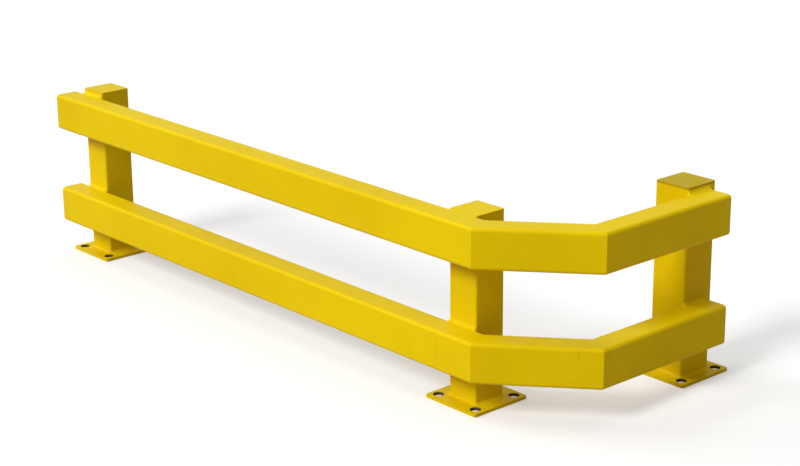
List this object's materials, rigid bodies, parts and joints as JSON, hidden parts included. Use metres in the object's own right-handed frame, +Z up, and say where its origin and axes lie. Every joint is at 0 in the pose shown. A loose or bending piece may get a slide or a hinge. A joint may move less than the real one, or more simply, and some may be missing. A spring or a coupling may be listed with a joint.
{
  "type": "corner safety railing",
  "caption": "Low welded steel safety railing: box-section rails with a mitred corner and a short return, on square posts with bolt-down base plates.",
  "frame": {"origin": "on the floor, at the centre of the corner post's base plate", "axes": "the long run goes towards -X, the short return goes towards +Y, +Z is up; the rails' outer faces look to -Y and +X"},
  "size_m": [1.945, 0.685, 0.485],
  "materials": {
    "yellow_powder_coat": "semi-gloss powder coat"
  },
  "bodies": {
    "root": {"far_base_plate": "yellow_powder_coat", "corner_base_plate": "yellow_powder_coat", "end_base_plate": "yellow_powder_coat", "far_post": "yellow_powder_coat", "corner_post": "yellow_powder_coat", "end_post": "yellow_powder_coat", "far_post_cap": "yellow_powder_coat", "corner_post_cap": "yellow_powder_coat", "end_post_cap": "yellow_powder_coat", "far_foot_weld": "yellow_powder_coat", "corner_foot_weld": "yellow_powder_coat", "end_foot_weld": "yellow_powder_coat", "lower_run_rail": "yellow_powder_coat", "lower_corner_rail": "yellow_powder_coat", "lower_return_rail": "yellow_powder_coat", "upper_run_rail": "yellow_powder_coat", "upper_corner_rail": "yellow_powder_coat", "upper_return_rail": "yellow_powder_coat", "lower_run_cap": "yellow_powder_coat", "upper_run_cap": "yellow_powder_coat", "lower_return_cap": "yellow_powder_coat", "upper_return_cap": "yellow_powder_coat", "lower_far_weld": "yellow_powder_coat", "upper_far_weld": "yellow_powder_coat", "lower_corner_weld": "yellow_powder_coat", "upper_corner_weld": "yellow_powder_coat", "lower_end_weld": "yellow_powder_coat", "upper_end_weld": "yellow_powder_coat"}
  },
  "joints": []
}
